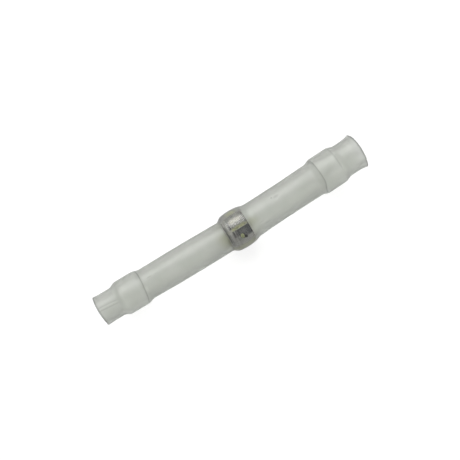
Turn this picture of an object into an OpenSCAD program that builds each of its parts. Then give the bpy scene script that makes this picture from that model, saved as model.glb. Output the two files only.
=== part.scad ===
// Solder sleeve for joining two wires: a clear heat-shrink tube, shrunk just enough to grip
// a solder ring at its middle and a sealing ring in each arm.
// It lies on its side as it comes to rest on a table, with the origin at the middle of the
// solder ring and X along that ring's bore. Each arm sweeps a little towards +Y and droops
// until the swelling over its sealing ring all but meets the table.

/* [Sleeve] */
// Wall of the shrunk tube
wall = 0.4; // [0.25:0.01:0.5]
// Length of the slope from a ring's seat down to the plain tube
slope_l = 1.1; // [1:0.05:1.3]
// Length over which each mouth opens
flare_l = 1.8; // [1:0.1:2]
// Clearance from the table to the swelling over each sealing ring, as the middle is heavier
table_clear = 0.025; // [0:0.005:0.05]

/* [Solder ring] */
// Outside diameter at the crown
solder_od = 4.56; // [4.4:0.02:5.2]
// Thickness of the rolled strip at the crown
solder_wall = 0.68; // [0.6:0.01:0.8]
// Length from edge to edge
solder_l = 3.1; // [2.8:0.1:4]
// Fall of the crown from its middle to where the ends round off
solder_crown = 0.09; // [0.01:0.01:0.12]
// Length over which its left end tapers
taper_l = 0.7; // [0.5:0.05:0.8]
// Depth of that taper
taper_h = 0.37; // [0.2:0.01:0.4]
// Length over which its right end rounds off
round_l = 0.2; // [0.15:0.05:0.3]
// Depth of that rounding
round_h = 0.03; // [0.02:0.01:0.1]
// Width of the lengthwise seam where the rolled strip meets itself
seam_w = 0.26; // [0.1:0.02:0.4]
// Turn of the seam from the top
seam_turn = 3; // [-20:1:20]
// Number of rolled lines beside the left edge
line_n = 3; // [1:1:3]
// Distance from the left edge to the first line, and from each line to the next
line_gap = 0.35; // [0.28:0.01:0.4]
// Width and depth of a rolled line
line_w = 0.08; // [0.04:0.01:0.12]

/* [Flux] */
// Length of the flux fillet past each edge of the solder ring
fillet_l = 0.25; // [0.15:0.05:0.3]
// Thickness left at the tip of the fillet
fillet_tip = 0.05; // [0.03:0.01:0.06]
// Place along the sleeve of the pocket that holds the flux drop
drop_at = 0.15; // [-0.05:0.05:0.35]
// Diameter of that pocket
drop_d = 0.56; // [0.4:0.02:0.6]
// Depth of the drop and of the pit beside it
drop_h = 0.2; // [0.1:0.02:0.25]
// Turn of the drop from the top
drop_turn = 34; // [30:1:60]
// Diameter of the open pit
pit_d = 0.34; // [0.3:0.02:0.42]
// Distance along the sleeve from the drop to the pit
pit_step = 0.33; // [0.32:0.01:0.6]
// Further turn of the pit from the drop
pit_turn = 9; // [8:1:14]

/* [Sealing rings] */
// Bore that a wire enters through, alike in both rings
seal_bore = 2.7; // [2.4:0.05:2.9]

/* [Left arm] */
// Distance from the middle of the solder ring to the left mouth
left_l = 20.85; // [16:0.05:28]
// Bore of the plain tube
left_bore = 3.42; // [3.3:0.01:3.6]
// Swell of the plain tube midway, on the radius
left_belly = 0.05; // [-0.08:0.01:0.1]
// Distance from the mouth in to the middle of the sealing ring
left_seal_in = 4.9; // [4.8:0.1:7]
// Length of the sealing ring
left_seal_l = 3.4; // [3:0.1:3.6]
// Length over which its outside rounds off to each edge
left_edge_l = 0.5; // [0.3:0.05:0.6]
// Outside diameter of the sealing ring
left_seal_od = 3.94; // [3.8:0.02:4.5]
// Bore of the mouth
left_mouth = 3.24; // [3:0.02:3.6]
// Opening of the flare, on the radius
left_flare = 0.03; // [0.01:0.01:0.25]
// Sweep of the arm to the side, in degrees
left_sweep = 1.1; // [0.2:0.1:3]

/* [Right arm] */
// Distance from the middle of the solder ring to the right mouth
right_l = 19.35; // [16:0.05:28]
// Bore of the plain tube
right_bore = 3.82; // [3.6:0.01:3.95]
// Swell of the plain tube midway, on the radius
right_belly = -0.04; // [-0.08:0.01:0.1]
// Distance from the mouth in to the middle of the sealing ring
right_seal_in = 5; // [4.8:0.1:7]
// Length of the sealing ring
right_seal_l = 2.8; // [2.6:0.1:3.2]
// Length over which its outside rounds off to each edge
right_edge_l = 0.15; // [0.1:0.05:0.5]
// Outside diameter of the sealing ring
right_seal_od = 4.38; // [4.1:0.02:4.7]
// Bore of the mouth
right_mouth = 3.74; // [3.4:0.02:3.9]
// Opening of the flare, on the radius
right_flare = 0.18; // [0.01:0.01:0.25]
// Sweep of the arm to the side, in degrees
right_sweep = 1.5; // [0.2:0.1:3]

/* [Hidden] */
$fn = 96;
left = -1;
right = 1;

// Steps of one stretch of a slope, of a plain tube and of a flare
slope_steps = 4;
tube_steps = 6;
flare_steps = 4;

// A slope over the solder ring runs on this far under the face of the plain tube
sink = 0.04;
// An arm begins this far back inside the slope
root_l = 0.6;
// Reach of a cutting tool past the surface that it cuts
past = 1;

solder_r = solder_od / 2;
solder_bore = solder_od - 2 * solder_wall;
ring_half = solder_l / 2;

// Place of the top of the crown, midway between the taper and the rounding
crown_at = (taper_l - round_l) / 2;
crown_half = ring_half - (taper_l + round_l) / 2;
crown_step = crown_half / slope_steps;
middle_half = crown_half + slope_l;

// Value for one side of the sleeve
function pick(side, for_left, for_right) = side == left ? for_left : for_right;

// Places over the solder ring are counted outwards from the top of its crown
function end_l(side) = pick(side, taper_l, round_l);
function end_h(side) = pick(side, taper_h, round_h);
function ring_end(side) = crown_half + end_l(side);
function fillet_end(side) = ring_end(side) + fillet_l;
function arm_start(side) = middle_half + side * crown_at;
function tube_r(side) = pick(side, left_bore, right_bore) / 2;
function mouth_r(side) = pick(side, left_mouth, right_mouth) / 2;
function seal_r(side) = pick(side, left_seal_od, right_seal_od) / 2;
function seal_half(side) = pick(side, left_seal_l, right_seal_l) / 2;
function seal_seat(side) = seal_half(side) - pick(side, left_edge_l, right_edge_l);

// Places in an arm are counted from where it turns off, at the end of the middle stretch
function mouth_at(side) = pick(side, left_l, right_l) - arm_start(side);
function seal_at(side) = mouth_at(side) - pick(side, left_seal_in, right_seal_in);

// An arm droops by what its swelling lacks of the swelling over the solder ring, less the clearance
function sweep(side) = pick(side, left_sweep, right_sweep);
function droop(side) = asin(fall_of(side) / (seal_at(side) + seal_seat(side)));
function fall_of(side) = solder_r - seal_r(side) - table_clear;

// Smooth step from 0 to 1
function ease(t) = (1 - cos(180 * t)) / 2;
// Stops with the stretches between them divided evenly
function divided(stops, steps) = [
  stops[0],
  for (i = [1 : len(stops) - 1])
    for (j = [1 : steps])
      stops[i - 1] + (stops[i] - stops[i - 1]) * j / steps
];
function reversed(list) = [for (i = [len(list) - 1 : -1 : 0]) list[i]];

// Inner face of the sleeve on the slope of a seat, at a distance from the middle of its ring
function slope_face(from_mid, seat, edge_r, foot_r) =
  edge_r + (foot_r - edge_r) * ease((from_mid - seat) / slope_l);

// Fall of the solder ring's end, which steepens outwards, and its steepness at the edge
function end_fall(side, t) = end_h(side) * (1 - cos(90 * t));
function end_steepness(side) = end_h(side) * PI / 2 / end_l(side);

// Free span of the sleeve from the solder ring's edge to the plain tube, level where it lands
function span_face(side, t) =
  let (
    edge_r = solder_r - solder_crown - end_h(side),
    foot_r = tube_r(side) - sink,
    run = middle_half - ring_end(side),
    landed = t * t * (3 - 2 * t)
  )
  edge_r + (foot_r - edge_r) * landed - end_steepness(side) * run * t * pow(1 - t, 2);

// Inner face over the solder ring: the crown, the end of the ring, then the free span
function solder_face(side, from_crown) =
  from_crown <= crown_half
    ? solder_r - solder_crown * pow(from_crown / crown_half, 2)
    : from_crown <= ring_end(side)
      ? solder_r - solder_crown - end_fall(side, (from_crown - crown_half) / end_l(side))
      : span_face(side, (from_crown - ring_end(side)) / (middle_half - ring_end(side)));

// The same face as points along X, between stops counted outwards on one side
function solder_points(side, stops) =
  [for (d = divided(stops, slope_steps)) [crown_at + side * d, solder_face(side, d)]];

// The same from side to side, over the solder ring and then to further stops
function middle_points(further) = concat(
  reversed(solder_points(left, concat([crown_step, crown_half, ring_end(left)], further[0]))),
  [[crown_at, solder_r]],
  solder_points(right, concat([crown_step, crown_half, ring_end(right)], further[1]))
);

// Inner face over a sealing ring, to its edges or to the feet of its slopes
function seal_points(side, ends) = concat(
  [for (d = reversed(divided(ends, slope_steps)))
    [seal_at(side) - d, slope_face(d, seal_seat(side), seal_r(side), tube_r(side))]],
  [for (d = divided(ends, slope_steps))
    [seal_at(side) + d, slope_face(d, seal_seat(side), seal_r(side), mouth_r(side))]]
);

// Inner face of an arm from its root to its mouth, or run on past the mouth
function arm_points(side, run_on) =
  let (
    belly = pick(side, left_belly, right_belly),
    flare = pick(side, left_flare, right_flare),
    foot = seal_seat(side) + slope_l,
    tube_l = seal_at(side) - foot
  )
  concat(
    [[-root_l, tube_r(side)]],
    [for (i = [0 : tube_steps - 1])
      [tube_l * i / tube_steps, tube_r(side) + belly * sin(180 * i / tube_steps)]],
    seal_points(side, [seal_seat(side), seal_half(side), foot]),
    [for (i = [0 : flare_steps])
      let (t = i / flare_steps)
      [mouth_at(side) - flare_l * (1 - t), mouth_r(side) + flare * pow(t, 2)]],
    run_on > 0 ? [[mouth_at(side) + run_on, mouth_r(side) + flare]] : []
  );

// Solid of revolution about X from points that hold a place along X and a radius
module turned(points) {
  rotate([0, 90, 0])
    rotate_extrude()
      polygon([for (p = points) [p[1], p[0]]]);
}

// Turned solid from a line of the inner face, grown outwards, down to a bore or to the axis
module turned_in(points, bore_r, grow = 0) {
  last = len(points) - 1;
  turned(concat(
    [for (p = points) [p[0], p[1] + grow]],
    [[points[last][0], bore_r], [points[0][0], bore_r]]
  ));
}

// Places what is drawn along +X on one arm of the sleeve
module on_arm(side) {
  rotate([0, side == left ? 180 : 0, 0])
    translate([arm_start(side), 0, 0])
      rotate([0, side * droop(side), sweep(side)])
        children();
}

// Solid form of the sleeve's inner face, grown by its wall or run on past its mouths
module sleeve_form(grow, run_on) {
  turned_in(middle_points([for (side = [left, right]) [fillet_end(side), middle_half]]), 0, grow);
  for (side = [left, right])
    on_arm(side)
      turned_in(arm_points(side, run_on), 0, grow);
}

// Outline of the solder ring before its seam, lines, pocket and pit are cut
module solder_blank() {
  turned_in(middle_points([[], []]), solder_bore / 2);
}

module seam_tool() {
  rotate([seam_turn, 0, 0])
    translate([-ring_half, -seam_w / 2, 0])
      cube([solder_l, seam_w, solder_r]);
}

// Tool for one line rolled round the left part of the solder ring
module line_tool(from_edge) {
  at = from_edge - ring_half;
  face_r = solder_face(left, ring_end(left) - from_edge);
  turned([
    [at - line_w / 2, face_r - line_w],
    [at - line_w / 2, face_r + past],
    [at + line_w / 2, face_r + past],
    [at + line_w / 2, face_r - line_w]
  ]);
}

// Round tool that cuts into the solder ring from outside
module spot_tool(at, turn, d) {
  rotate([turn, 0, 0])
    translate([at, 0, solder_face(right, abs(at - crown_at)) - drop_h])
      cylinder(d = d, h = past);
}

module drop_tool() {
  spot_tool(drop_at, drop_turn, drop_d);
}

// Fillet of flux between one edge of the solder ring and the sleeve
module flux_fillet(side) {
  face = solder_points(side, [ring_end(side), fillet_end(side)]);
  tip = face[len(face) - 1];
  turned(concat(
    face,
    [[tip[0], tip[1] - fillet_tip], [side * ring_half, solder_bore / 2 + fillet_tip]]
  ));
}

module seal_ring(side) {
  on_arm(side)
    turned_in(seal_points(side, [seal_seat(side), seal_half(side)]), seal_bore / 2);
}

module sleeve() {
  color([0.80, 0.81, 0.79, 0.45])
    difference() {
      sleeve_form(wall, 0);
      sleeve_form(0, past);
    }
}

module solder_ring() {
  color([0.55, 0.55, 0.50])
    difference() {
      solder_blank();
      seam_tool();
      for (i = [1 : line_n])
        line_tool(line_gap * i);
      drop_tool();
      spot_tool(drop_at + pit_step, drop_turn + pit_turn, pit_d);
    }
}

module flux() {
  color([0.72, 0.72, 0.46]) {
    intersection() {
      solder_blank();
      seam_tool();
    }
    for (side = [left, right])
      flux_fillet(side);
  }
}

module flux_drop() {
  color([0.66, 0.66, 0.40])
    intersection() {
      solder_blank();
      drop_tool();
    }
}

module seal_ring_left() {
  color([0.86, 0.87, 0.85, 0.6])
    seal_ring(left);
}

module seal_ring_right() {
  color([0.86, 0.87, 0.85, 0.6])
    seal_ring(right);
}

sleeve();
solder_ring();
flux();
flux_drop();
seal_ring_left();
seal_ring_right();
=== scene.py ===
import math

import bmesh
import bpy
from mathutils import Matrix, Vector, noise


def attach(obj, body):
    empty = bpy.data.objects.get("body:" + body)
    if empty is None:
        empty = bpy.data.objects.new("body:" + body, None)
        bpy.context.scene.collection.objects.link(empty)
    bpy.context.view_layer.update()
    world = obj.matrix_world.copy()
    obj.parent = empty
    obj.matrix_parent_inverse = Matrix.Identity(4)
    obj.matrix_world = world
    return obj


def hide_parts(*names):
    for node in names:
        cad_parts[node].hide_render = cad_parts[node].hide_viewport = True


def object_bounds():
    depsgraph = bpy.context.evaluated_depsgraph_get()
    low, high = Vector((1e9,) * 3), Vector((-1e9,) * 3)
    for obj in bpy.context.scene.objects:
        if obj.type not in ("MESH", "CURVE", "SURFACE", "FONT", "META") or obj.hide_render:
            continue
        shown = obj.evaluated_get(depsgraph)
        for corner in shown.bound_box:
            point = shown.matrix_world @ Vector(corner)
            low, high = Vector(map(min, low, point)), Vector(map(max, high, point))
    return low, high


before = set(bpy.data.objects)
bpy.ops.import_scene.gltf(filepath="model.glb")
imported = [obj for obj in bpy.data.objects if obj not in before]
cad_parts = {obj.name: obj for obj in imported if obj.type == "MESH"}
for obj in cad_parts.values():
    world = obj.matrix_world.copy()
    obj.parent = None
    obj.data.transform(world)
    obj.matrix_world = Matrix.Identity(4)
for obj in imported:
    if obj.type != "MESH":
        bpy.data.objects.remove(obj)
cad_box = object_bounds()

MM = 0.001
TAU = 2 * math.pi

# Sizes that part.scad gives too, in millimetres and degrees
WALL = 0.4
SLOPE_L = 1.1
FLARE_L = 1.8
SOLDER_R = 2.28
SOLDER_BORE_R = 1.6
SOLDER_CROWN = 0.09
RING_HALF = 1.55
END_L = {-1: 0.7, 1: 0.2}
END_H = {-1: 0.37, 1: 0.03}
CROWN_AT = (END_L[-1] - END_L[1]) / 2
CROWN_HALF = RING_HALF - (END_L[-1] + END_L[1]) / 2
MIDDLE_HALF = CROWN_HALF + SLOPE_L
FILLET_L = 0.25
SEAM_TURN = 3.0
SEAM_W = 0.26
LINES = (-1.2, -0.85, -0.5)
LINE_W = 0.08
DROP_AT = 0.15
DROP_TURN = 34.0
DROP_R = 0.28
PIT_AT = 0.48
PIT_TURN = 43.0
PIT_R = 0.17
SPOT_H = 0.2
SEAL_BORE_R = 1.35
TABLE_CLEAR = 0.025


# Numbers

def clamp(t, low=0.0, high=1.0):
    return max(low, min(high, t))


def ease(t):
    """Smooth step from 0 to 1."""
    return (1 - math.cos(math.pi * clamp(t))) / 2


def ramp(value, start, stop):
    """Smooth step from 0 where the value is at start to 1 where it is at stop, in either direction."""
    return ease((value - start) / (stop - start))


def bell(value, middle, width):
    """Bump of height 1 that falls to 0 at width from its middle."""
    return 1 - ease(abs(value - middle) / width)


def band(value, low, high, soft):
    """1 between two values, with soft edges of a half width."""
    return ramp(value, low - soft, low + soft) * ramp(value, high + soft, high - soft)


def spaced(start, stop, step):
    """Evenly spaced values from start, without stop."""
    count = max(1, round(abs(stop - start) / step))
    return [start + (stop - start) * i / count for i in range(count)]


def spaced_to(start, stop, step):
    return spaced(start, stop, step) + [stop]


def turned_off(turn, degrees):
    """Turn away from an angle in degrees, as radians from -pi to pi."""
    return (turn - math.radians(degrees) + math.pi) % TAU - math.pi


def wander(*place):
    """Smooth noise from about -1 to 1 at a place of three numbers."""
    return noise.noise(Vector(place))


def wander_round(turn, scale, layer):
    """Smooth noise that runs round the part and closes on itself."""
    return wander(scale * math.cos(turn), scale * math.sin(turn), layer)


def wander_along(x, turn, per_mm, scale, shift=0.0):
    """Smooth noise over the whole face of a round part."""
    return wander(per_mm * x, scale * math.cos(turn), scale * math.sin(turn) + shift)


# Form of the sleeve

class Arm:
    """One half of the sleeve, from the middle swelling to its mouth."""

    def __init__(self, side, length, bore, belly, seal_in, seal_l, edge_l, seal_od, mouth, flare, sweep):
        self.side = side
        self.length = length
        self.start = MIDDLE_HALF + side * CROWN_AT
        self.tube_r = bore / 2
        self.belly = belly
        self.seal_at = length - seal_in
        self.seal_half = seal_l / 2
        self.seat = self.seal_half - edge_l
        self.seal_r = seal_od / 2
        self.mouth_r = mouth / 2
        self.flare = flare
        reach = self.seal_at - self.start + self.seat
        self.droop = math.asin((SOLDER_R - self.seal_r - TABLE_CLEAR) / reach)
        self.sweep = math.radians(sweep)


LEFT = Arm(side=-1, length=20.85, bore=3.42, belly=0.05, seal_in=4.9, seal_l=3.4, edge_l=0.5,
           seal_od=3.94, mouth=3.24, flare=0.03, sweep=1.1)
RIGHT = Arm(side=1, length=19.35, bore=3.82, belly=-0.04, seal_in=5.0, seal_l=2.8, edge_l=0.15,
            seal_od=4.38, mouth=3.74, flare=0.18, sweep=1.5)

# Half length of the bend where an arm leaves the middle
BEND_HALF = 0.5


def arm_of(x):
    return LEFT if x < 0 else RIGHT


def middle_r(arm, d):
    """Inner face of the middle swelling, at a distance from the top of its crown."""
    if d <= CROWN_HALF:
        return SOLDER_R - SOLDER_CROWN * (d / CROWN_HALF) ** 2
    edge_l, edge_h = END_L[arm.side], END_H[arm.side]
    ring_end = CROWN_HALF + edge_l
    if d <= ring_end:
        return SOLDER_R - SOLDER_CROWN - edge_h * (1 - math.cos(math.pi / 2 * (d - CROWN_HALF) / edge_l))
    edge_r = SOLDER_R - SOLDER_CROWN - edge_h
    run = MIDDLE_HALF - ring_end
    t = (d - ring_end) / run
    steepness = edge_h * math.pi / 2 / edge_l
    return edge_r + (arm.tube_r - edge_r) * t * t * (3 - 2 * t) - steepness * run * t * (1 - t) ** 2


def seat_slope(arm, d, foot_r):
    """Inner face over a sealing ring and down its slope to a foot."""
    return arm.seal_r + (foot_r - arm.seal_r) * ease((abs(d - arm.seal_at) - arm.seat) / SLOPE_L)


def inner_r(x):
    """Inner face of the sleeve at a station along its length."""
    off_crown = abs(x - CROWN_AT)
    if off_crown <= MIDDLE_HALF:
        return middle_r(arm_of(x - CROWN_AT), off_crown)
    arm = arm_of(x)
    d = abs(x)
    foot = arm.seat + SLOPE_L
    tube_end = arm.seal_at - foot
    if d <= tube_end:
        return arm.tube_r + arm.belly * math.sin(math.pi * (d - arm.start) / (tube_end - arm.start))
    if d <= arm.seal_at:
        return seat_slope(arm, d, arm.tube_r)
    if d <= arm.seal_at + foot:
        return seat_slope(arm, d, arm.mouth_r)
    return arm.mouth_r + arm.flare * clamp((d - arm.length + FLARE_L) / FLARE_L) ** 2


def centre(x):
    """Middle of the sleeve at a station: straight at the solder ring, then swept and drooping."""
    arm = arm_of(x)
    out = abs(x) - arm.start
    if out < -BEND_HALF:
        along = 0.0
    elif out > BEND_HALF:
        along = out
    else:
        along = (out + BEND_HALF) ** 2 / (4 * BEND_HALF)
    flat = math.cos(arm.sweep) * math.cos(arm.droop)
    return Vector((
        arm.side * (abs(x) - along * (1 - flat)),
        along * math.sin(arm.sweep) * math.cos(arm.droop),
        -along * math.sin(arm.droop),
    ))


def cross_axes(x):
    """Sideways and upward directions across the sleeve at a station."""
    step = 0.05
    along = (centre(x + step) - centre(x - step)).normalized()
    across = Vector((0, 0, 1)).cross(along).normalized()
    return across, along.cross(across)


def around(turn, r, middle, axes):
    """Point at a radius from a middle, turned in radians from the top towards -Y."""
    across, up = axes
    return middle + r * (math.cos(turn) * up - math.sin(turn) * across)


def straight_around(x, turn, r):
    """Point on the solder ring's own straight axis."""
    return Vector((x, -r * math.sin(turn), r * math.cos(turn)))


# Meshes

def ring_faces(rows, columns, closed_rows):
    """Quads of a grid of closed loops, whose last loop may join the first."""
    faces = []
    for i in range(rows if closed_rows else rows - 1):
        a = i * columns
        b = (i + 1) % rows * columns
        for j in range(columns):
            k = (j + 1) % columns
            faces.append((a + j, b + j, b + k, a + k))
    return faces


def capped_faces(rows, columns):
    """Quads of a grid of closed loops, with the first and the last loop filled."""
    caps = [tuple(base + j for j in range(columns)) for base in (0, (rows - 1) * columns)]
    return ring_faces(rows, columns, False) + caps


def make_mesh(name, verts, faces, marks=None):
    """Mesh from points in millimetres, with named values per point for its material."""
    mesh = bpy.data.meshes.new(name)
    mesh.from_pydata([v * MM for v in verts], [], faces)
    for mark, values in (marks or {}).items():
        layer = mesh.attributes.new(mark, "FLOAT", "POINT")
        layer.data.foreach_set("value", values)
    mesh.validate()
    fresh = bmesh.new()
    fresh.from_mesh(mesh)
    bmesh.ops.recalc_face_normals(fresh, faces=fresh.faces)
    fresh.to_mesh(mesh)
    fresh.free()
    mesh.shade_smooth()
    return mesh


def add_object(name, data):
    made = bpy.data.objects.new(name, data)
    bpy.context.scene.collection.objects.link(made)
    return made


def make_piece(name, mesh, node):
    """Object that stands for a node of the frame."""
    piece = add_object(name, mesh)
    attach(piece, "root")
    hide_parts(node)
    return piece


# Small forms of the sleeve's wall

# Fold along the left stub, a low flat ridge between two grooves: stations, degrees and millimetres
CREASE = dict(start=-20.8, stop=-17.7, turn=0.5, drift=7.0, half_turn=6.0, groove_turn=3.4,
              groove_depth=0.02, ridge_height=0.010)

# Station, turn in degrees, half length, half width in millimetres, depth
DENTS = (
    (-12.95, -9.5, 0.5, 0.1, 0.024),
    (-12.1, -14.0, 0.7, 0.09, -0.008),
    (6.45, -16.5, 0.62, 0.26, 0.022),
    (6.5, -6.0, 0.55, 0.12, -0.010),
    (5.87, -20.5, 0.15, 0.13, 0.05),
    (3.5, 34.5, 1.0, 0.11, -0.010),
    (3.8, 42.5, 0.7, 0.1, 0.018),
    (3.1, 28.5, 0.6, 0.09, 0.012),
    (-8.4, 118.0, 0.8, 0.16, 0.020),
    (8.8, 160.0, 1.0, 0.1, 0.018),
    (-4.4, 205.0, 0.6, 0.2, 0.022),
    (11.0, 250.0, 0.9, 0.07, 0.015),
)

# Burrs at the corners of each mouth: turn and half width in degrees, height
BURRS = {
    -1: ((-80, 9, 0.05), (95, 12, 0.02)),
    1: ((-78, 7, 0.07), (-66, 6, -0.05), (97, 10, 0.03)),
}
BURR_L = 0.55
INNER_BURR = 0.6

# Cut of a mouth: how far it bows back, its slow and its fine unevenness, and the length that follows it
CUT_BOW = 0.15
CUT_ROUGH = 0.05
CUT_FINE = {-1: 0.025, 1: 0.05}
CUT_L = 1.4

# Departures of the shrunk tube from a true round
OVAL = 0.010
THREE_LOBED = 0.005
WAVES = 0.016
RIPPLE = 0.004
LOOSE_L = 1.5

# Rounding of the wall's edges at a mouth
OUTER_EDGE = 0.06
OUTER_EDGE_L = 0.12
INNER_EDGE = 0.03
INNER_EDGE_L = 0.1

# Depth of the wall's inner face under the solder ring's: beside it, on it and over its hollows
TOUCH = 0.004
BEDDING = 0.08
BEDDING_EDGE = 0.1
HOLLOW_BEDDING = 0.2
DROP_HOLLOW_R = 0.5
PIT_HOLLOW_R = 0.4

# Where each spacing of the sleeve's rings of points starts, and the spacing: closer at small forms
STATION_STEPS = (
    (-LEFT.length, 0.085),
    (-18.3, 0.11),
    (-14.7, 0.05),
    (-13.7, 0.1),
    (-12.3, 0.15),
    (-2.4, 0.075),
    (2.9, 0.08),
    (7.4, 0.15),
    (10.9, 0.1),
    (12.4, 0.05),
    (13.3, 0.11),
    (16.9, 0.085),
)
# Spacing of the points round a ring, in degrees: on the upper side as far as its turn, and beyond
UPPER_SIDE = 62.0
CLOSE_TURN = 1.9
WIDE_TURN = 4.7


def crease_height(x, turn):
    t = (x - CREASE["start"]) / (CREASE["stop"] - CREASE["start"])
    if not 0 < t < 1:
        return 0.0
    across = math.degrees(turn) - CREASE["turn"] - CREASE["drift"] * t
    half = CREASE["half_turn"]
    grooves = sum(bell(across, at, CREASE["groove_turn"]) for at in (-half, half))
    height = CREASE["ridge_height"] * bell(across, 0, half) - CREASE["groove_depth"] * grooves
    return ramp(t, 0, 0.12) * ramp(t, 1, 0.8) * height


def dent_depth(x, turn, r):
    depth = 0.0
    for at, degrees, half_l, half_w, amount in DENTS:
        along = (x - at) / half_l
        if abs(along) < 1:
            across = turned_off(turn, degrees) * r / half_w
            depth += amount * max(0.0, 1 - along * along - across * across) ** 1.5
    return depth


def mouth_shift(side, turn):
    """How far the cut of a mouth runs back from its longest point."""
    rough = 0.5 + 0.5 * wander_round(turn, 3, 7.0 + 4 * side)
    fine = abs(wander_round(turn, 11, 3.0 + side))
    return CUT_BOW * math.sin(turn) ** 2 + CUT_ROUGH * rough + CUT_FINE[side] * fine


def burr_height(side, turn):
    """Small burrs that a cut leaves at the corners of each mouth."""
    return sum(height * bell(math.degrees(turn), at, half) for at, half, height in BURRS[side])


def skin_offset(x, turn, r):
    """Departure of the drawn tube from a true round, alike on both faces of its wall."""
    oval = OVAL * math.sin(2 * turn + 0.23 * x) + THREE_LOBED * math.sin(3 * turn - 0.4 * x)
    loose = ease((abs(x - CROWN_AT) - MIDDLE_HALF) / LOOSE_L)
    slow = WAVES * wander_along(x, turn, 0.42, 1.3)
    fine = RIPPLE * wander_along(x, turn, 0.8, 4.5, 9)
    return loose * (oval + slow + fine) - dent_depth(x, turn, r) + crease_height(x, turn)


def bedding(x, turn):
    """How deep the sleeve's inner face lies under the solder ring's, so that no air shows between them."""
    inside = min(x - leaned(-RING_HALF, turn), leaned(RING_HALF, turn) - x)
    drop = spot(x, turn, DROP_AT, DROP_TURN, DROP_HOLLOW_R)
    pit = spot(x, turn, PIT_AT, PIT_TURN, PIT_HOLLOW_R)
    on_ring = ramp(inside, 0, BEDDING_EDGE)
    on_hollow = ramp(min(drop, pit), 1, 0.75)
    return TOUCH + BEDDING * on_ring + HOLLOW_BEDDING * on_hollow


def seal_lean(side, turn):
    """How far a sealing ring's inner end lies out of square, away from the middle."""
    lean = 0.05 * wander_round(turn, 2, 4.0 + side)
    if side < 0:
        return lean + min(0.3, 0.25 + 0.41 * math.sin(turn - math.radians(62)))
    degrees = math.degrees(turn)
    return lean - 0.28 * max(ramp(degrees, 22, 67), ramp(degrees, -40, -70))


# Marks of the sleeve's wall

# Half width of the painted shade, a thin dark band on the wall, at the sealing rings' ends
SEAL_END_SHADE_W = 0.14

# Light and shade painted into the wall's colour, paler or darker as a share of it. The stretch of the arm,
# the part of the girth as "round", "lower" or a turn and half width in degrees, and the amount
BOTH_ARMS_LIGHT_AND_SHADE = (
    ("seal", "lower", 0.14),
    ("slope", "round", 0.05),
    ("off seal", (82, 26), -0.06),
    ("cut", "round", -0.32),
)
LIGHT_AND_SHADE = {
    -1: BOTH_ARMS_LIGHT_AND_SHADE + (
        ("seal", (-30, 24), -0.04),
        ("slope", (-30, 40), 0.11),
        ("by ring", (34, 56), -0.07),
        ("stub", (0, 18), -0.025),
        ("mouth", (-25, 60), -0.09),
    ),
    1: BOTH_ARMS_LIGHT_AND_SHADE + (
        ("seal", (12, 16), -0.04),
        ("seal", (-14, 14), 0.02),
        ("seal", (-38, 16), -0.045),
        ("slope", (25, 30), 0.10),
        ("slope", (-35, 25), 0.03),
        ("stub", "lower", 0.07),
        ("stub", (-28, 24), 0.05),
        ("inner slope", "round", 0.03),
        ("inner slope", "lower", 0.06),
        ("tube", (38, 26), 0.045),
        ("tube", (-35, 20), 0.03),
        ("mouth", (-25, 50), -0.10),
        ("mouth", (0, 60), -0.06),
    ),
}
# Distance from the cut at which a mouth's shade starts, and at which it is full
MOUTH_SHADE = {-1: (1.0, 0.0), 1: (1.3, 0.5)}

# Single patches of painted light and shade: station, half length, turn and half width in degrees, and
# amount
LIGHT_AND_SHADE_PATCHES = (
    (-17.15, 0.6, -25, 35, -0.10),
    (-14.0, 0.35, 25, 22, 0.25),
    (2.25, 1.0, -19, 24, 0.14),
    (2.05, 0.7, 38, 18, 0.17),
    (1.68, 0.38, 15, 18, -0.20),
)
# Painted shade in the dents and the crease's grooves, painted light on bulges and the crease's ridge, per
# millimetre
DENT_SHADE = -12.0
CREASE_SHADE = 10.0


def stretches(x):
    """How much each stretch of an arm counts at a station, from 0 to 1."""
    arm = arm_of(x)
    d = abs(x)
    seal_end = arm.seal_at + arm.seal_half
    to_end = arm.length - d
    seal = ramp(abs(d - arm.seal_at), arm.seal_half + 0.25, arm.seal_half - 0.05)
    stub = ramp(d, seal_end, seal_end + 0.4)
    return {
        "by ring": ramp(d, 5.8, 3.2),
        "tube": (1 - stub) * (1 - seal) * ramp(d, 2, 4),
        "inner slope": bell(d, arm.seal_at - arm.seal_half - 0.5, 0.7),
        "seal": seal,
        "off seal": 1 - seal,
        "slope": bell(d, seal_end + 0.2, 0.5),
        "stub": stub,
        "mouth": ramp(to_end, *MOUTH_SHADE[arm.side]),
        "cut": ramp(to_end, 0.28, 0.12),
    }


def in_girth(degrees, part):
    """How much a part of the girth counts at a turn, from 0 to 1."""
    if part == "round":
        return 1.0
    if part == "lower":
        return ramp(degrees, 10, 42) * ramp(degrees, 175, 125)
    return bell(degrees, *part)


def light_and_shade(x, turn, r, weights):
    """Painted light and shade of the wall: how much paler or darker than its colour it is, as a share of
    it.
    """
    degrees = math.degrees(turn)
    value = DENT_SHADE * dent_depth(x, turn, r) + CREASE_SHADE * crease_height(x, turn)
    for stretch, part, amount in LIGHT_AND_SHADE[arm_of(x).side]:
        if weights[stretch] > 0:
            value += amount * weights[stretch] * in_girth(degrees, part)
    for at, half_l, middle, half_turn, amount in LIGHT_AND_SHADE_PATCHES:
        if abs(x - at) < half_l:
            value += amount * bell(x, at, half_l) * bell(degrees, middle, half_turn)
    return value


def seal_line(x, turn):
    """Painted shade: a thin dark band on the wall at the sealing rings' ends, where the wall bridges from
    ring to tube.
    """
    arm = arm_of(x)
    d = abs(x)
    degrees = math.degrees(turn)
    inner = arm.seal_at - arm.seal_half + seal_lean(arm.side, turn)
    outer = arm.seal_at + arm.seal_half
    near = 1.0 + 0.3 * ramp(degrees, -10, -30)
    far = 0.0 if arm.side < 0 else 0.15 + 0.55 * ramp(degrees, 34, 14)
    return near * bell(d, inner, SEAL_END_SHADE_W) + far * bell(d, outer, SEAL_END_SHADE_W)


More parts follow.
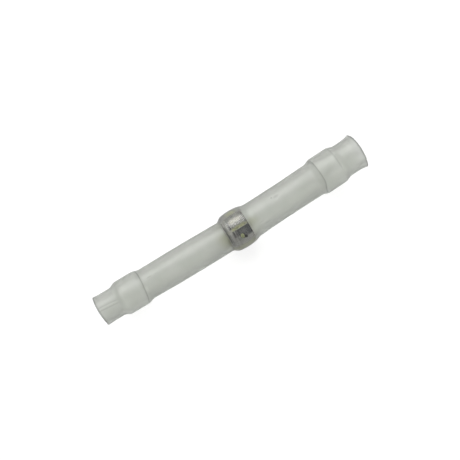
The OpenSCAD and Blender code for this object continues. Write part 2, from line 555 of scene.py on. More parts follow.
def flux_film(x, turn):
    """Tint of the flux that shows through the wall beside the solder ring, from 0 to 1."""
    degrees = math.degrees(turn)
    cloud = 0.5 * wander_along(x, turn, 1.5, 2)
    if x < 0:
        below = 0.35 + 0.65 * bell(degrees, 22, 50) + 0.2 * ramp(degrees, 10, 40) + cloud
        below *= 1 - 0.6 * ramp(degrees, 42, 66)
    else:
        below = 0.9 * bell(degrees, 9, 22) + 0.15 * ramp(degrees, 10, 30) + 0.5 * cloud
    start = 1.5
    reach = 1.9 + 0.7 * wander(turn, 3.0, x / 9)
    return clamp(below) * ramp(abs(x), start + reach, start)


def skin_marks(x, turn, r, weights):
    """Where the wall is clear over the solder ring, crisp there, its painted shade at the sealing rings'
    ends, its tint of flux, and its painted light and shade.
    """
    degrees = math.degrees(turn)
    clear = ramp(abs(x), 1.7, 1.5)
    facing = ramp(degrees, -50, -28) * ramp(degrees, 62, 44)
    return dict(
        clear=clear,
        crisp=clear * (0.45 + 0.55 * facing),
        line=seal_line(x, turn),
        film=flux_film(x, turn),
        light_and_shade=light_and_shade(x, turn, r, weights),
    )


# Sleeve

def sleeve_stations():
    """Stations of the sleeve's rings of points, from mouth to mouth."""
    stops = [start for start, step in STATION_STEPS[1:]] + [RIGHT.length]
    stations = []
    for (start, step), stop in zip(STATION_STEPS, stops):
        stations += spaced(start, stop, step)
    return stations + [RIGHT.length]


def skin_turns():
    """Turns of the points round the sleeve, closer together on its upper side."""
    degrees = spaced(-180.0, -UPPER_SIDE, WIDE_TURN)
    degrees += spaced(-UPPER_SIDE, UPPER_SIDE, CLOSE_TURN)
    degrees += spaced(UPPER_SIDE, 180.0, WIDE_TURN)
    return [math.radians(value) for value in degrees]


def skin_r(x, turn, face):
    """Radius of the wall's outer or inner face."""
    arm = arm_of(x)
    to_end = arm.length - abs(x)
    base = inner_r(x)
    burr = ease(1 - to_end / BURR_L) * burr_height(arm.side, turn)
    if face == "out":
        round_off = OUTER_EDGE * clamp(1 - to_end / OUTER_EDGE_L) ** 2
        return base + skin_offset(x, turn, base) + burr + WALL - round_off
    r = base + skin_offset(x, turn, base) + INNER_BURR * burr
    r += INNER_EDGE * clamp(1 - to_end / INNER_EDGE_L) ** 2
    if abs(x) < RING_HALF + FILLET_L:
        r -= bedding(x, turn)
    return r


def make_sleeve():
    turns = skin_turns()
    stations = sleeve_stations()
    loops = [(x, "out") for x in stations] + [(x, "in") for x in reversed(stations)]
    verts = []
    marks = {name: [] for name in ("clear", "crisp", "line", "film", "light_and_shade")}
    for x, face in loops:
        arm = arm_of(x)
        middle, axes, weights = centre(x), cross_axes(x), stretches(x)
        follows_cut = ease(1 - (arm.length - abs(x)) / CUT_L)
        for turn in turns:
            r = skin_r(x, turn, face)
            shift = -arm.side * follows_cut * mouth_shift(arm.side, turn)
            verts.append(around(turn, r, middle + Vector((shift, 0, 0)), axes))
            for name, value in skin_marks(x, turn, r, weights).items():
                marks[name].append(value)
    mesh = make_mesh("sleeve_skin", verts, ring_faces(len(loops), len(turns), True), marks)
    return make_piece("sleeve_skin", mesh, "sleeve")


# Solder ring

# Lean of the strip's ends, as if wound on a slant: amount, where it starts, and the turn that it is about
END_LEAN = {-1: 0.12, 1: 0.03}
LEAN_FROM = {-1: 0.3, 1: 0.8}
LEAN_TURN = 0.12

# Rounding of the strip's edges: at its ends and along the seam
RING_EDGE = 0.04
RING_EDGE_L = 0.09
SEAM_EDGE = 0.035
SEAM_EDGE_L = 0.12

# Height of the strip's face over its true round, and how much lower its end faces start
RING_PROUD = 0.012
END_STEP = 0.01

# Spacing of the points along the strip, outside and in the bore
STRIP_STEP = 0.03
STRIP_BORE_STEP = 0.2

LINE_DEPTH = 0.05
ROLLED_WAVES = 0.006
ROLLED_RIPPLE = 0.001

# Darker and paler parts of the strip: stations and turns in degrees, from and to, and strength.
# The dark bars are partly dark stripes of the strip and partly painted shade, at its ends and round
# its painted highlight; the last pale bar is painted light on the strip's lower side.
DARK_BARS = (
    (-1.44, -1.28, -24, 2, 0.33),
    (-1.50, -1.30, 2, 27, 0.6),
    (-1.50, -1.31, 27, 42, 0.45),
    (-0.98, -0.66, -20, -3, 0.95),
    (-1.00, -0.62, -35, -21, 0.3),
    (-0.82, -0.60, 6, 29, 0.85),
    (-0.47, -0.27, 5, 29, 0.8),
    (-0.84, -0.66, -50, -37, 0.3),
    (0.09, 0.46, -49, -38, 0.3),
    (1.12, 1.42, -50, -36, 0.3),
    (0.70, 0.79, 25, 36, 0.5),
    (1.36, 1.60, -12, 40, 0.4),
    (1.36, 1.60, -36, -12, 0.55),
    (0.95, 1.40, -24, -8, 0.1),
    (0.75, 1.45, -38, -26, 0.15),
    (-0.62, 1.40, -15, -1, 0.32),
    (-0.62, 1.40, -44, -34, 0.12),
)
PALE_BARS = (
    (-1.23, -0.98, -28, -1, 0.45),
    (-1.22, -0.98, 4, 42, 0.25),
    (-1.00, -0.48, 37, 50, 0.3),
    (-1.60, 1.60, 44, 110, 0.4),
)
BAR_SOFT_L = 0.05
BAR_SOFT_TURN = 3

# Marks of the faces that don't show, under the strip
INSIDE_MARKS = dict(dark=0.0, groove_shade=0.6, pit=0.0, stain=0.3, mottle_and_highlight=0.0, pale=0.0)


def leaned(x, turn):
    """Station of a point of the strip once its ends lean."""
    side = -1 if x < 0 else 1
    lean = END_LEAN[side] * clamp((abs(x) - LEAN_FROM[side]) / (RING_HALF - LEAN_FROM[side]))
    return x - lean * math.sin(turn - LEAN_TURN)


def solder_face(x):
    return inner_r(clamp(x, -RING_HALF - END_LEAN[-1], RING_HALF))


def seam_edge(x, which):
    """Turn of one edge of the seam, in radians: the rolled strip's cut ends are uneven."""
    ragged = 0.025 * wander(2.1 * x, 4.0 * which, 1.0) + 0.012 * wander(7.3 * x, 9.0 * which, 2.0)
    half = SEAM_W / 2 / SOLDER_R
    return math.radians(SEAM_TURN) + which * half + ragged / SOLDER_R


def spot(x, turn, at, degrees, half_x, half_around=None):
    """Distance from a spot's middle over its half widths, on the face of the solder ring."""
    across = turned_off(turn, degrees) * SOLDER_R / (half_around or half_x)
    return math.hypot((x - at) / half_x, across)


def rolled_line(x, turn, at, width):
    return bell(x, at + 0.02 * wander_round(turn, 2, at), width)


def bars(x, degrees, parts):
    """Strength of soft-edged patches at a place on the strip."""
    return sum(
        strength * band(x, x0, x1, BAR_SOFT_L) * band(degrees, d0, d1, BAR_SOFT_TURN)
        for x0, x1, d0, d1, strength in parts)


def solder_depth(x, turn):
    """Depth of the rolled lines, the pocket, the pit and the strip's unevenness."""
    pocket = spot(x, turn, DROP_AT, DROP_TURN, DROP_R * 0.95, DROP_R * 1.25)
    pit = spot(x, turn, PIT_AT, PIT_TURN, PIT_R) + 0.25 * wander(6 * x, 6 * turn, 5.0)
    depth = LINE_DEPTH * sum(rolled_line(x, turn, at, LINE_W * 0.9) for at in LINES)
    depth += SPOT_H * (0.8 * ramp(pocket, 1.1, 0.8) + ramp(pit, 1.05, 0.55))
    depth += ROLLED_WAVES * (1 + wander_along(x, turn, 2.3, 3))
    return depth + ROLLED_RIPPLE * (1 + wander_along(x, turn, 14, 5))


def dark_reflection_zone(x, degrees, ragged, speck):
    """Painted dark reflection: a dark field between the seam and the drop, deepest along its upper and
    right edges.
    """
    top = 7.5 + 0.4 * ragged
    bottom = 37.5 + 2 * speck
    left = -0.35 + 0.13 * ramp(degrees, 24, 38) - 0.06 * ragged
    zone = ramp(degrees, top, top + 1.6) * ramp(degrees, bottom + 6, bottom) * ramp(x, left, left + 0.14)
    deep = max(bell(degrees, 9.5, 5), ramp(x, 0.75, 1.25), 0.5 * bell(x, -0.1, 0.25))
    return zone * (0.8 + 0.2 * deep + 0.1 * speck)


def groove_shade_mark(x, turn, degrees, ragged):
    """Dark rolled lines, bars and rims of the strip: painted shade in the rolled lines' grooves and at the
    rims, and dark bars, partly painted shade.
    """
    facing = max(bell(degrees, -5, 45), bell(degrees, 30, 40))
    at_side = ramp(degrees, 5, 8) * ramp(degrees, 44, 36)
    mark = 0.35 * facing * sum(rolled_line(x, turn, at, 0.07) for at in LINES)
    mark += (1 + 0.35 * ragged) * bars(x, degrees, DARK_BARS)
    mark += 0.5 * bell(degrees, -52, 24) * clamp(wander(3.5 * x, 0.11 * degrees, 11.0) + 0.1)
    mark += 0.42 * facing * bell(x, -RING_HALF, 0.1)
    return mark + (0.3 + 0.5 * at_side) * bell(x, RING_HALF, 0.1)


def flux_stain(x, degrees, ragged, speck):
    """Flux smeared beside the seam, and stains near the upper and lower edges."""
    smear = bell(degrees, 1.5 + 2.5 * ragged, 9) * ramp(x, -0.77, -0.62) * ramp(x, 1.3, 1.0)
    smear *= 0.6 + 0.6 * speck
    return smear + 0.9 * bell(degrees, -60, 16) * bell(x, 0.3, 1.1) + 0.7 * bell(degrees, 80, 22)


def ring_marks(x, turn):
    """Where the solder ring is dark (a painted dark reflection), grooved and holed (painted shade),
    stained with flux, or bright (a painted highlight), from 0 to 1.
    """
    degrees = math.degrees(turned_off(turn, 0))
    ragged = wander(3 * x, 0.1 * degrees, 4.0)
    speck = wander(5 * x, 0.35 * degrees, 8.0)
    # Painted shade: black in the pit, and a painted shadow beside the drop
    hole = spot(x, turn, PIT_AT + 0.02, PIT_TURN - 1.5, PIT_R * 1.4)
    shade = spot(x, turn, DROP_AT + 0.12, DROP_TURN + 2, 0.3, 0.36)
    return dict(
        dark=clamp(dark_reflection_zone(x, degrees, ragged, speck)),
        groove_shade=clamp(groove_shade_mark(x, turn, degrees, ragged)),
        pit=clamp(1.4 * ramp(hole, 1.1, 0.5) + 0.6 * ramp(shade, 1.1, 0.8)),
        stain=clamp(flux_stain(x, degrees, ragged, speck)),
        # Painted highlight on the strip's upper side
        mottle_and_highlight=bell(degrees, -22.5, 12.5) * ramp(x, -0.66, -0.54) * ramp(x, 1.3, 0.85),
        # Paler bands, with painted light on the strip's lower side
        pale=clamp((1 + 0.4 * speck) * bars(x, degrees, PALE_BARS)),
    )


def ring_shares():
    """Places round the ring from one edge of the seam to the other, closer at its details."""
    return [t / 360.0 for t in spaced(0.0, 62.0, 0.45) + spaced_to(62.0, 360.0, 1.6)]


def strip_loop():
    """Stations round the strip's section: outer face, right end, bore and left end."""
    shares = [k / 5 for k in range(1, 5)]
    loop = [(x, "out") for x in spaced_to(-RING_HALF, RING_HALF, STRIP_STEP)]
    loop += [(RING_HALF, share) for share in shares]
    loop += [(x, "bore") for x in reversed(spaced_to(-RING_HALF, RING_HALF, STRIP_BORE_STEP))]
    return loop + [(-RING_HALF, 1 - share) for share in shares]


def strip_r(x0, x, turn, near_seam, face):
    """Radius on the strip: outside, in the bore, or a share of the way in on an end."""
    edge = RING_EDGE * clamp(1 - (RING_HALF - abs(x0)) / RING_EDGE_L) ** 2
    roll = SEAM_EDGE * clamp(1 - near_seam / SEAM_EDGE_L) ** 2
    out_r = solder_face(x) - edge - roll + RING_PROUD
    if face == "out":
        return out_r - solder_depth(x0, turn)
    if face == "bore":
        return SOLDER_BORE_R
    return out_r - END_STEP + (SOLDER_BORE_R - out_r) * face


def make_solder():
    loop = strip_loop()
    shares = ring_shares()
    verts = []
    marks = {name: [] for name in INSIDE_MARKS}
    for share in shares:
        for x0, face in loop:
            first = seam_edge(x0, 1)
            last = seam_edge(x0, -1) + TAU
            turn = first + (last - first) * share
            x = leaned(x0, turn)
            near_seam = min(turn - first, last - turn) * SOLDER_R
            verts.append(straight_around(x, turn, strip_r(x0, x, turn, near_seam, face)))
            shown = ring_marks(x0, turn) if face == "out" else INSIDE_MARKS
            for name, value in shown.items():
                marks[name].append(value)
    mesh = make_mesh("solder_roll", verts, capped_faces(len(shares), len(loop)), marks)
    return make_piece("solder_roll", mesh, "solder_ring")


# Flux

FILLET_COLUMNS = 160

# How far a fillet starts inside the solder ring's end and lies in the wall, its least depth, the
# height of its foot over the bore, and the unevenness of its reach and of its foot
FILLET_LAP = 0.02
FILLET_PROUD = 0.004
FILLET_DEPTH = 0.03
FILLET_FOOT = 0.08
REACH_RAGGED = 0.22
FOOT_RAGGED = 0.05

# How far the seam's flux runs past the solder ring's ends, into the seam's edges in radians, and
# clear of the bore; then how deep its face lies, how much that varies, and how hollow it is
SEAM_PAST = 0.03
SEAM_LAP = 0.004
SEAM_FOOT = 0.03
SEAM_SUNK = 0.02
SEAM_WAVES = 0.016
SEAM_DISH = 0.012

# The drop's place and size in its pocket, its stretch round the ring, and its depths
BEAD_RINGS = 10
BEAD_COLUMNS = 48
BEAD_SHIFT = -0.06
BEAD_SIZE = 0.97
BEAD_STRETCH = 1.18
BEAD_RAGGED = 0.06
BEAD_RIM = 0.03
BEAD_DEEP = 0.11


def fillet_mesh(side):
    """One fillet of flux: it hugs the sleeve outside and the solder ring's end face."""
    path = [(t, "out") for t in (0.0, 0.2, 0.4, 0.6, 0.8, 0.95)]
    path += [(t, "in") for t in (1.0, 0.8, 0.6, 0.4, 0.2, 0.0)]
    verts = []
    for t, face in path:
        for j in range(FILLET_COLUMNS):
            turn = TAU * j / FILLET_COLUMNS
            reach = min(1.0, 1 + REACH_RAGGED * wander_round(turn, 1.8, 6.0 * side))
            out = (FILLET_L * reach + FILLET_LAP) * t - FILLET_LAP
            x = leaned(side * RING_HALF, turn) + side * out
            r = inner_r(x) + FILLET_PROUD
            if face == "in":
                low = SOLDER_BORE_R + FILLET_FOOT + FOOT_RAGGED * wander_round(turn, 2, 2.0 * side)
                r -= (r - low) * (1 - t) ** 1.6 + FILLET_DEPTH
            verts.append(straight_around(x, turn, r))
    return make_mesh("flux_fillets", verts, ring_faces(len(path), FILLET_COLUMNS, True))


def seam_mesh():
    """Flux that fills the seam, a little proud and sunk by turns."""
    end = RING_HALF + SEAM_PAST
    low = SOLDER_BORE_R + SEAM_FOOT
    shares = [k / 8 for k in range(9)]
    stations = spaced_to(-end, end, 0.04)
    verts = []
    for x in stations:
        on_ring = clamp(x, -RING_HALF, RING_HALF)
        first = seam_edge(on_ring, -1) - SEAM_LAP
        last = seam_edge(on_ring, 1) + SEAM_LAP
        top = solder_face(x) - SEAM_SUNK + SEAM_WAVES * wander(3.1 * x, 1.0, 5.0)
        for share in shares:
            dish = SEAM_DISH * math.sin(math.pi * share)
            verts.append(straight_around(x, first + (last - first) * share, top - dish))
        for share in reversed(shares):
            verts.append(straight_around(x, first + (last - first) * share, low))
    return make_mesh("seam_flux", verts, capped_faces(len(stations), 2 * len(shares)))


def make_flux():
    """Both fillets and the seam's flux, joined to one body."""
    piece = make_piece("flux_fillets", fillet_mesh(-1), "flux")
    parts = [add_object("flux_part", mesh) for mesh in (fillet_mesh(1), seam_mesh())]
    for part in parts:
        join = piece.modifiers.new("join", "BOOLEAN")
        join.operation = "UNION"
        join.solver = "EXACT"
        join.object = part
    bpy.context.view_layer.update()
    joined = bpy.data.meshes.new_from_object(piece.evaluated_get(bpy.context.evaluated_depsgraph_get()))
    piece.modifiers.clear()
    piece.data = joined
    joined.shade_smooth()
    for part in parts:
        bpy.data.objects.remove(part)
    return piece


def make_drop():
    """Drop of flux set in the solder ring's pocket, domed like a lens."""
    loops = 2 * BEAD_RINGS + 1
    verts = []
    for i in range(loops):
        v = i / BEAD_RINGS
        out = min(v, 2 - v)
        for j in range(BEAD_COLUMNS):
            angle = TAU * j / BEAD_COLUMNS
            r = DROP_R * BEAD_SIZE * out * (1 + BEAD_RAGGED * wander_round(angle, 2, 8.0))
            x = DROP_AT + BEAD_SHIFT + r * math.cos(angle)
            turn = math.radians(DROP_TURN) + BEAD_STRETCH * r * math.sin(angle) / SOLDER_R
            sunk = BEAD_RIM * out ** 2 if v <= 1 else BEAD_RIM + BEAD_DEEP * (1 - out ** 2)
            verts.append(straight_around(x, turn, solder_face(x) - sunk))
    mesh = make_mesh("flux_bead", verts, ring_faces(loops, BEAD_COLUMNS, False))
    fresh = bmesh.new()
    fresh.from_mesh(mesh)
    bmesh.ops.remove_doubles(fresh, verts=fresh.verts, dist=1e-8)
    fresh.to_mesh(mesh)
    fresh.free()
    return make_piece("flux_bead", mesh, "flux_drop")


# Sealing rings

SEAL_COLUMNS = 112
SEAL_STEP = 0.07
SEAL_BORE_STEP = 0.18

# How far a ring's outer face lies in the wall, the unevenness of its bore, the rounding of the bore
# at its ends, and the bulge of its end faces
SEAL_PROUD = 0.003
SEAL_BORE_RAGGED = 0.012
SEAL_ROUND = 0.05
SEAL_ROUND_L = 0.2
SEAL_BULGE = 0.05

# Length of the painted shade, a dark band, at each end, and its strength at the outer end
SEAL_SHADE_L = 0.14
OUTER_END_SHADE = {-1: 0.0, 1: 0.3}


def seal_loop(length):
    """Distances round a ring's section: outer face, outer end, bore and inner end."""
    shares = [k / 6 for k in range(1, 6)]
    loop = [(d, "out") for d in spaced_to(0.0, length, SEAL_STEP)]
    loop += [(length, share) for share in shares]
    loop += [(d, "bore") for d in reversed(spaced_to(0.0, length, SEAL_BORE_STEP))]
    return loop + [(0.0, share) for share in reversed(shares)]


def seal_point(arm, d, turn, face):
    """Point of a ring at a distance from its inner end."""
    length = 2 * arm.seal_half
    lean = seal_lean(arm.side, turned_off(turn, 0))
    x = arm.side * (arm.seal_at - arm.seal_half + d + lean * (1 - d / length))
    out_r = inner_r(x) + skin_offset(x, turn, inner_r(x)) + SEAL_PROUD
    bore_r = SEAL_BORE_R + SEAL_BORE_RAGGED * wander_round(turn, 2, 0.8 * x)
    bulge = 0.0
    if face == "out":
        r = out_r
    elif face == "bore":
        r = bore_r + SEAL_ROUND * clamp(1 - min(d, length - d) / SEAL_ROUND_L) ** 2
    else:
        outwards = arm.side if d > 0 else -arm.side
        r = out_r + (bore_r + SEAL_ROUND - out_r) * face
        bulge = SEAL_BULGE * math.sin(math.pi * face) * outwards
    return around(turn, r, centre(x), cross_axes(x)) + Vector((bulge, 0, 0))


def make_seal(arm, name, node):
    """Hot-melt ring: cast smooth outside by the sleeve, a little uneven at its ends and bore, with painted
    shade as dark bands at its ends.
    """
    length = 2 * arm.seal_half
    loop = seal_loop(length)
    verts, ends = [], []
    for d, face in loop:
        # Painted shade at the ring's ends, full at the inner end
        strength = 1.0 if d < arm.seal_half else OUTER_END_SHADE[arm.side]
        mark = strength * ramp(min(d, length - d), SEAL_SHADE_L, 0)
        for j in range(SEAL_COLUMNS):
            verts.append(seal_point(arm, d, TAU * j / SEAL_COLUMNS, face))
            ends.append(mark)
    mesh = make_mesh(name, verts, ring_faces(len(loop), SEAL_COLUMNS, True), {"end": ends})
    return make_piece(name, mesh, node)


# Materials

class Nodes:
    """A node tree, emptied, with short calls to build it."""

    def __init__(self, tree):
        self.tree = tree
        self.tree.nodes.clear()

    def put(self, socket, value):
        if isinstance(value, bpy.types.NodeSocket):
            self.tree.links.new(value, socket)
        else:
            socket.default_value = value

    def node(self, kind, values=None, **settings):
        made = self.tree.nodes.new(kind)
        for key, value in settings.items():
            setattr(made, key, value)
        for key, value in (values or {}).items():
            self.put(made.inputs[key], value)
        return made

    def place(self, sx=1.0, sy=1.0, sz=1.0):
        """Position on the piece in millimetres, stretched per axis."""
        at = self.node("ShaderNodeTexCoord").outputs["Object"]
        stretch = (sx / MM, sy / MM, sz / MM)
        return self.node("ShaderNodeVectorMath", {0: at, 1: stretch}, operation="MULTIPLY").outputs[0]

    def noise(self, scale, detail=3.0, rough=0.55, stretch=(1, 1, 1)):
        return self.node("ShaderNodeTexNoise", {"Vector": self.place(*stretch), "Scale": scale,
                                                "Detail": detail, "Roughness": rough}).outputs["Fac"]

    def mark(self, name):
        return self.node("ShaderNodeAttribute", attribute_name=name).outputs["Fac"]

    def ranged(self, value, low, high, to_low, to_high):
        return self.node("ShaderNodeMapRange", {"Value": value, "From Min": low, "From Max": high,
                                                "To Min": to_low, "To Max": to_high}).outputs["Result"]

    def math(self, operation, a, b=0.0):
        return self.node("ShaderNodeMath", {0: a, 1: b}, operation=operation).outputs[0]

    def mix(self, fac, a, b):
        return self.node("ShaderNodeMix", {0: fac, 6: a, 7: b}, data_type="RGBA").outputs[2]

    def bump(self, height, strength, distance=0.00002):
        return self.node("ShaderNodeBump", {"Height": height, "Strength": strength,
                                            "Distance": distance}).outputs["Normal"]

    def mix_shader(self, fac, a, b):
        return self.node("ShaderNodeMixShader", {0: fac, 1: a, 2: b}).outputs[0]


class Shader(Nodes):
    """A material, with its node tree."""

    def __init__(self, name):
        self.mat = bpy.data.materials.new(name)
        self.mat.use_nodes = True
        super().__init__(self.mat.node_tree)

    def finish(self, surface):
        self.node("ShaderNodeOutputMaterial", {"Surface": surface})
        return self.mat


def rgb(r, g, b):
    return (r, g, b, 1.0)


def lets_lamps_through(shader, surface, tint):
    """Lamps shine through the plastic a little dimmed, instead of being stopped by it."""
    path = shader.node("ShaderNodeLightPath")
    passed = shader.node("ShaderNodeBsdfTransparent", {"Color": tint}).outputs[0]
    return shader.mix_shader(path.outputs["Is Shadow Ray"], surface, passed)


def sleeve_material():
    s = Shader("frosted_sleeve")
    cloud = s.noise(0.55, 2.0)
    grain = s.noise(9.0, 4.0, 0.6, (0.35, 1, 1))
    streak = s.noise(16.0, 3.0, 0.6, (0.06, 1, 1))
    base = s.mix(s.ranged(cloud, 0.35, 0.65, 0, 1), rgb(0.625, 0.64, 0.605), rgb(0.67, 0.68, 0.65))
    # Painted shade: thin dark bands at the sealing rings' ends
    base = s.mix(s.math("MULTIPLY", s.mark("line"), 0.76), base, rgb(0.28, 0.29, 0.27))
    base = s.mix(s.math("MULTIPLY", s.mark("film"), 0.72), base, rgb(0.50, 0.51, 0.36))
    base = s.mix(s.mark("clear"), base, rgb(0.90, 0.90, 0.87))
    # Painted light and shade, as a share of the colour
    scale = s.math("ADD", s.mark("light_and_shade"), 1.0)
    base = s.node("ShaderNodeVectorMath", {0: base, "Scale": scale}, operation="SCALE").outputs[0]
    # Painted shade: the colour darkens towards the sleeve's edges, where the wall is seen aslant
    grazing_shade = s.node("ShaderNodeLayerWeight", {"Blend": 0.5}).outputs["Facing"]
    base = s.mix(s.ranged(grazing_shade, 0.36, 0.85, 0.0, 0.75), base, rgb(0.25, 0.255, 0.24))
    weight = s.ranged(s.mark("clear"), 0, 1, 0.80, 1.0)
    smoother = s.ranged(s.mark("crisp"), 0, 1, 1.0, 0.42)
    rough = s.math("MULTIPLY", s.ranged(grain, 0.3, 0.7, 0.41, 0.49), smoother)
    height = s.math("ADD", s.math("MULTIPLY", grain, 0.6), streak)
    height = s.math("MULTIPLY", height, s.ranged(s.mark("crisp"), 0, 1, 1.0, 0.1))
    shade = s.node("ShaderNodeBsdfPrincipled", {
        "Base Color": base, "Roughness": rough, "Transmission Weight": weight, "IOR": 1.5,
        "Normal": s.bump(height, 0.35)})
    return s.finish(lets_lamps_through(s, shade.outputs[0], rgb(0.86, 0.87, 0.85)))


def seal_material():
    s = Shader("milky_hot_melt")
    cloud = s.noise(1.1, 3.0)
    base = s.mix(s.ranged(cloud, 0.35, 0.65, 0, 1), rgb(0.86, 0.87, 0.84), rgb(0.93, 0.94, 0.91))
    # Painted shade: dark bands at the ring's ends
    base = s.mix(s.math("MULTIPLY", s.mark("end"), 0.7), base, rgb(0.22, 0.23, 0.21))
    alpha = s.ranged(cloud, 0.3, 0.7, 0.10, 0.15)
    shade = s.node("ShaderNodeBsdfPrincipled", {
        "Base Color": base, "Alpha": alpha, "Roughness": 0.4, "Normal": s.bump(s.noise(6.0), 0.3)})
    return s.finish(lets_lamps_through(s, shade.outputs[0], rgb(0.8, 0.81, 0.79)))


def solder_material():
    s = Shader("rolled_solder")
    mottle_and_highlight = s.noise(1.6, 4.0, 0.6)
    rolled = s.noise(9.0, 4.0, 0.6, (1.0, 0.22, 0.22))
    grain = s.noise(22.0, 3.0)
    stained = s.math("MULTIPLY", s.mark("stain"), s.ranged(grain, 0.35, 0.6, 0.45, 1.0))
    base = s.mix(s.ranged(mottle_and_highlight, 0.35, 0.65, 0, 1), rgb(0.22, 0.22, 0.213), rgb(0.31, 0.31, 0.29))
    # Paler bands, with painted light on the strip's lower side
    base = s.mix(s.mark("pale"), base, rgb(0.42, 0.42, 0.405))
    # Painted highlight on the strip's upper side
    base = s.mix(s.math("MULTIPLY", s.mark("mottle_and_highlight"), 0.9), base, rgb(0.36, 0.355, 0.31))
    base = s.mix(stained, base, rgb(0.37, 0.39, 0.18))
    # Painted shade in the grooves and at the rims, and dark bars
    base = s.mix(s.math("MULTIPLY", s.mark("groove_shade"), 0.9), base, rgb(0.045, 0.045, 0.045))
    # Painted dark reflection: the dark field between the seam and the drop
    base = s.mix(s.math("MULTIPLY", s.mark("dark"), 0.97), base, rgb(0.033, 0.034, 0.038))
    # Painted shade: black in the pit, and a painted shadow beside the drop
    base = s.mix(s.mark("pit"), base, rgb(0.002, 0.002, 0.002))
    height = s.math("ADD", rolled, s.math("MULTIPLY", grain, 0.4))
    shade = s.node("ShaderNodeBsdfPrincipled", {
        "Base Color": base, "Metallic": 0.6, "Roughness": s.ranged(rolled, 0.3, 0.7, 0.58, 0.74),
        "Normal": s.bump(height, 0.1)})
    return s.finish(shade.outputs[0])


def flux_material(name, light, deep, at_edges):
    """Flux that is deep in the seam and thin past the solder ring's edges."""
    s = Shader(name)
    place = s.node("ShaderNodeSeparateXYZ", {0: s.place()}).outputs
    seam_y = -SOLDER_R * math.sin(math.radians(SEAM_TURN))
    off_seam = s.math("ABSOLUTE", s.math("SUBTRACT", place["Y"], seam_y))
    in_seam = s.math("MULTIPLY", s.ranged(off_seam, 0.22, 0.3, 1, 0), s.ranged(place["Z"], 0, 0.1, 0, 1))
    in_seam = s.math("MULTIPLY", in_seam, s.ranged(s.math("ABSOLUTE", place["X"]), 1.5, 1.6, 1, 0))
    alpha = s.ranged(in_seam, 0, 1, at_edges, 1.0)
    base = s.mix(s.ranged(s.noise(5.0, 3.0), 0.4, 0.6, 0, 1), deep, light)
    # Painted shade: the flux is darker towards the solder ring's ends, nearly black at its left end and
    # fillet
    base = s.mix(s.ranged(place["X"], -0.82, -0.56, 1, 0), base, rgb(0.25, 0.25, 0.22))
    base = s.mix(s.ranged(place["X"], -1.4, -1.25, 1, 0), base, rgb(0.08, 0.08, 0.07))
    base = s.mix(s.ranged(place["X"], 1.05, 1.45, 0, 0.7), base, rgb(0.18, 0.18, 0.155))
    shade = s.node("ShaderNodeBsdfPrincipled", {
        "Base Color": base, "Alpha": alpha, "Roughness": 0.3, "Normal": s.bump(s.noise(7.0), 0.3)})
    return s.finish(shade.outputs[0])


def dress(piece, material):
    piece.data.materials.clear()
    piece.data.materials.append(material)


def make_part():
    melt = seal_material()
    in_seam = flux_material("rosin_flux", rgb(0.31, 0.315, 0.17), rgb(0.12, 0.13, 0.065), 0.12)
    in_pocket = flux_material("rosin_bead", rgb(0.26, 0.285, 0.13), rgb(0.15, 0.17, 0.06), 1.0)
    dress(make_sleeve(), sleeve_material())
    dress(make_solder(), solder_material())
    dress(make_flux(), in_seam)
    dress(make_drop(), in_pocket)
    dress(make_seal(LEFT, "seal_left", "seal_ring_left"), melt)
    dress(make_seal(RIGHT, "seal_right", "seal_ring_right"), melt)


# Floor, light and camera

FLOOR_HALF = 2.0
FLOOR_GAP = 0.00001
FLOOR_GLOW = 0.78
WORLD_LIGHT = 0.5

# Where the camera stands from its target, in metres, and how far the sleeve is turned in the picture
CAMERA_TOWARDS = Vector((-0.080, -0.128, 0.988)).normalized()
CAMERA_DISTANCE = 0.196
CAMERA_TARGET = Vector((-0.73, 0.43, 0.0)) * MM
PICTURE_TURN = math.radians(31.85)
VIEW_ANGLE = math.radians(17.45)


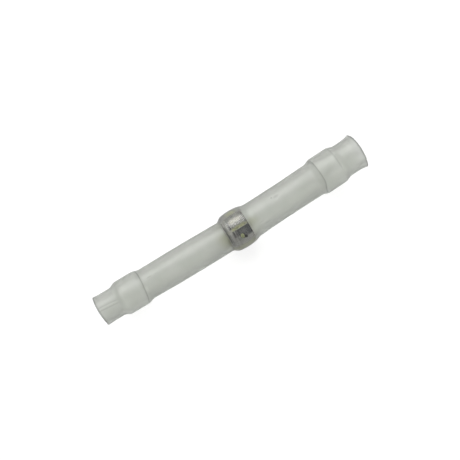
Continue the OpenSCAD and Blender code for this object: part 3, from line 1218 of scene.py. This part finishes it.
def make_floor():
    half = FLOOR_HALF
    level = cad_box[0][2] - FLOOR_GAP
    corners = [(-half, -half, level), (half, -half, level), (half, half, level), (-half, half, level)]
    mesh = bpy.data.meshes.new("floor")
    mesh.from_pydata(corners, [], [(0, 1, 2, 3)])
    floor = add_object("floor", mesh)
    s = Shader("pale_floor")
    path = s.node("ShaderNodeLightPath").outputs
    seen = s.math("MAXIMUM", path["Is Glossy Ray"], path["Is Transmission Ray"])
    seen = s.math("MAXIMUM", path["Is Camera Ray"], seen)
    lit = s.node("ShaderNodeBsdfDiffuse", {"Color": rgb(0.8, 0.8, 0.8)}).outputs[0]
    dim = s.node("ShaderNodeBsdfDiffuse", {"Color": rgb(0.3, 0.3, 0.3)}).outputs[0]
    glow = s.node("ShaderNodeEmission", {"Color": rgb(1, 1, 1), "Strength": FLOOR_GLOW}).outputs[0]
    white = s.node("ShaderNodeAddShader", {0: dim, 1: glow}).outputs[0]
    dress(floor, s.finish(s.mix_shader(seen, lit, white)))


def make_world():
    """White where the camera sees it, and a plain soft light elsewhere."""
    world = bpy.data.worlds.new("studio")
    bpy.context.scene.world = world
    world.use_nodes = True
    s = Nodes(world.node_tree)
    path = s.node("ShaderNodeLightPath").outputs
    seen = s.math("MAXIMUM", path["Is Camera Ray"], path["Is Transmission Ray"])
    strength = s.ranged(seen, 0, 1, WORLD_LIGHT, 1.0)
    back = s.node("ShaderNodeBackground", {"Color": rgb(1, 1, 1), "Strength": strength})
    s.node("ShaderNodeOutputWorld", {"Surface": back.outputs[0]})


def make_lamp(name, place, size, power):
    """Rectangular lamp that points at the part."""
    data = bpy.data.lights.new(name, "AREA")
    data.shape = "RECTANGLE"
    data.size, data.size_y = size
    data.energy = power
    lamp = add_object(name, data)
    lamp.location = place
    lamp.rotation_euler = (-Vector(place)).to_track_quat("-Z", "Y").to_euler()


def make_camera():
    towards = CAMERA_TOWARDS
    level = (Vector((1, 0, 0)) - towards.x * towards).normalized()
    upright = towards.cross(level)
    right = math.cos(PICTURE_TURN) * level - math.sin(PICTURE_TURN) * upright
    turned = Matrix((right, towards.cross(right), towards)).transposed().to_4x4()
    data = bpy.data.cameras.new("camera")
    data.sensor_width = 36.0
    data.sensor_height = 36.0
    data.angle = VIEW_ANGLE
    data.clip_start = 0.005
    data.clip_end = 20.0
    camera = add_object("camera", data)
    camera.matrix_world = Matrix.Translation(CAMERA_TARGET + CAMERA_DISTANCE * towards) @ turned
    bpy.context.scene.camera = camera


make_part()
make_floor()
make_world()
make_lamp("key", place=(0.01, 0.214, 0.264), size=(0.3, 0.24), power=0.85)
make_lamp("fill", place=(0.12, -0.3, 0.3), size=(0.3, 0.3), power=0.22)
make_camera()
bpy.context.scene.view_settings.view_transform = "Standard"

bpy.context.view_layer.update()
